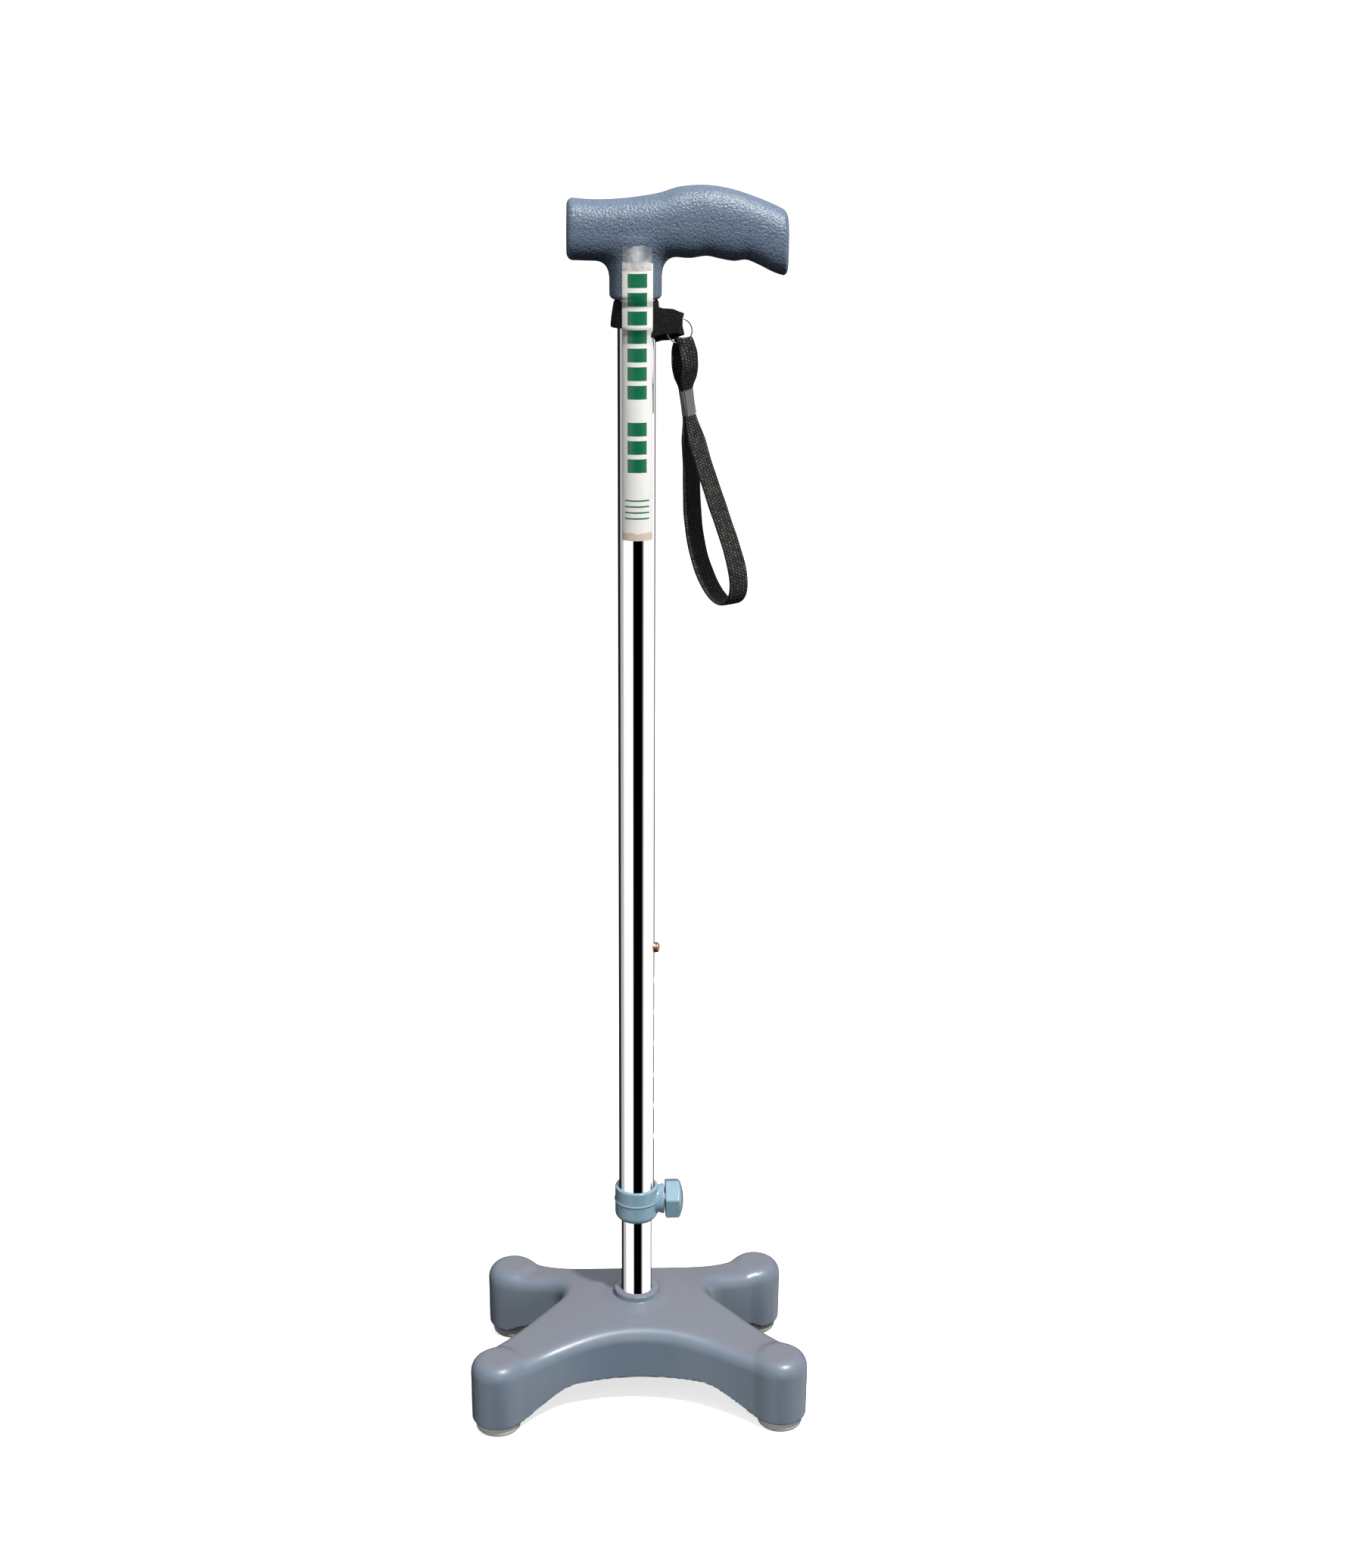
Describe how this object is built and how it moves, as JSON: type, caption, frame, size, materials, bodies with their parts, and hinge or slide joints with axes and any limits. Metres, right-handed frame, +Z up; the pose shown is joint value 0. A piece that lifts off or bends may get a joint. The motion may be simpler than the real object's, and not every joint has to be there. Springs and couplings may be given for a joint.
{
  "type": "quad walking cane",
  "caption": "Walking cane with a T-shaped grip, telescoping chromed shaft with snap button and clamp knob, wrist strap, and a broad four-legged base on rubber feet.",
  "frame": {"origin": "on the floor under the shaft's axis, within 4 mm of the bottom centre of the box around the cane", "axes": "+Z up along the shaft; +X towards the long end of the grip, the clamp knob and the snap button; -Y is the front, on the side of the label"},
  "size_m": [0.206, 0.141, 0.7503],
  "materials": {
    "base_plastic": "blue-grey moulded plastic with a soft satin gloss",
    "grip_plastic": "blue-grey plastic with a moulded leather grain",
    "clamp_plastic": "pale blue-grey glossy moulded plastic",
    "chrome_tube": "polished chrome plate",
    "foot_rubber": "pale grey non-marking rubber",
    "bush_plastic": "natural nylon",
    "zinc_steel": "bright zinc plate",
    "spring_steel": "blued spring steel",
    "button_metal": "worn copper-coloured metal",
    "elastic_webbing": "black woven elastic",
    "strap_webbing": "black woven webbing",
    "ring_steel": "bright wire",
    "crimp_steel": "folded steel strip",
    "label_paper": "white paper strip with plain green bars"
  },
  "bodies": {
    "base": {"base_shell": "base_plastic", "base_bolt": "zinc_steel", "base_washer": "zinc_steel", "tube_end_plug": "zinc_steel", "inner_tube": "chrome_tube", "guide_bush": "bush_plastic", "button_spring": "spring_steel", "foot_front_left": "foot_rubber", "foot_front_right": "foot_rubber", "foot_rear_left": "foot_rubber", "foot_rear_right": "foot_rubber"},
    "snap_button": {"snap_button": "button_metal"},
    "upper": {"outer_tube": "chrome_tube", "handle": "grip_plastic", "handle_screw": "zinc_steel", "collar": "clamp_plastic", "clamp_nut": "zinc_steel", "paper_label": "label_paper", "strap_band": "elastic_webbing"},
    "clamp_pad": {"clamp_pad": "bush_plastic"},
    "knob": {"clamp_knob": "clamp_plastic", "clamp_screw": "zinc_steel"},
    "strap_ring": {"split_ring": "ring_steel"},
    "wrist_strap": {"strap_loop": "strap_webbing", "strap_crimp": "crimp_steel", "wrist_loop": "strap_webbing"}
  },
  "joints": [
    {"name": "height_slide", "type": "slide", "parent": "base", "child": "upper", "axis": [0, 0, 1], "range_m": [0, 0.126]},
    {"name": "button_press", "type": "slide", "parent": "base", "child": "snap_button", "axis": [-1, 0, 0], "range_m": [0, 0.0047], "stiffness_N_per_m": 1500, "deforming": ["button_spring"]},
    {"name": "clamp_travel", "type": "slide", "parent": "upper", "child": "clamp_pad", "axis": [1, 0, 0], "range_m": [0, 0.003]},
    {"name": "clamp_turn", "type": "hinge", "parent": "clamp_pad", "child": "knob", "pos_m": [0.012, 0, 0.1215], "axis": [1, 0, 0], "range_deg": [0, 1080]},
    {"name": "ring_swing", "type": "hinge", "parent": "upper", "child": "strap_ring", "pos_m": [0.0174, 0, 0.6685], "axis": [0, 0, 1], "range_deg": [-20, 20]},
    {"name": "strap_swing", "type": "hinge", "parent": "strap_ring", "child": "wrist_strap", "pos_m": [0.0255, 0, 0.6614], "axis": [1, 0, 0], "range_deg": [-40, 40]}
  ],
  "couplings": [
    {"joint": "clamp_turn", "follows": "clamp_travel", "rad_per_m": 6283.2}
  ]
}
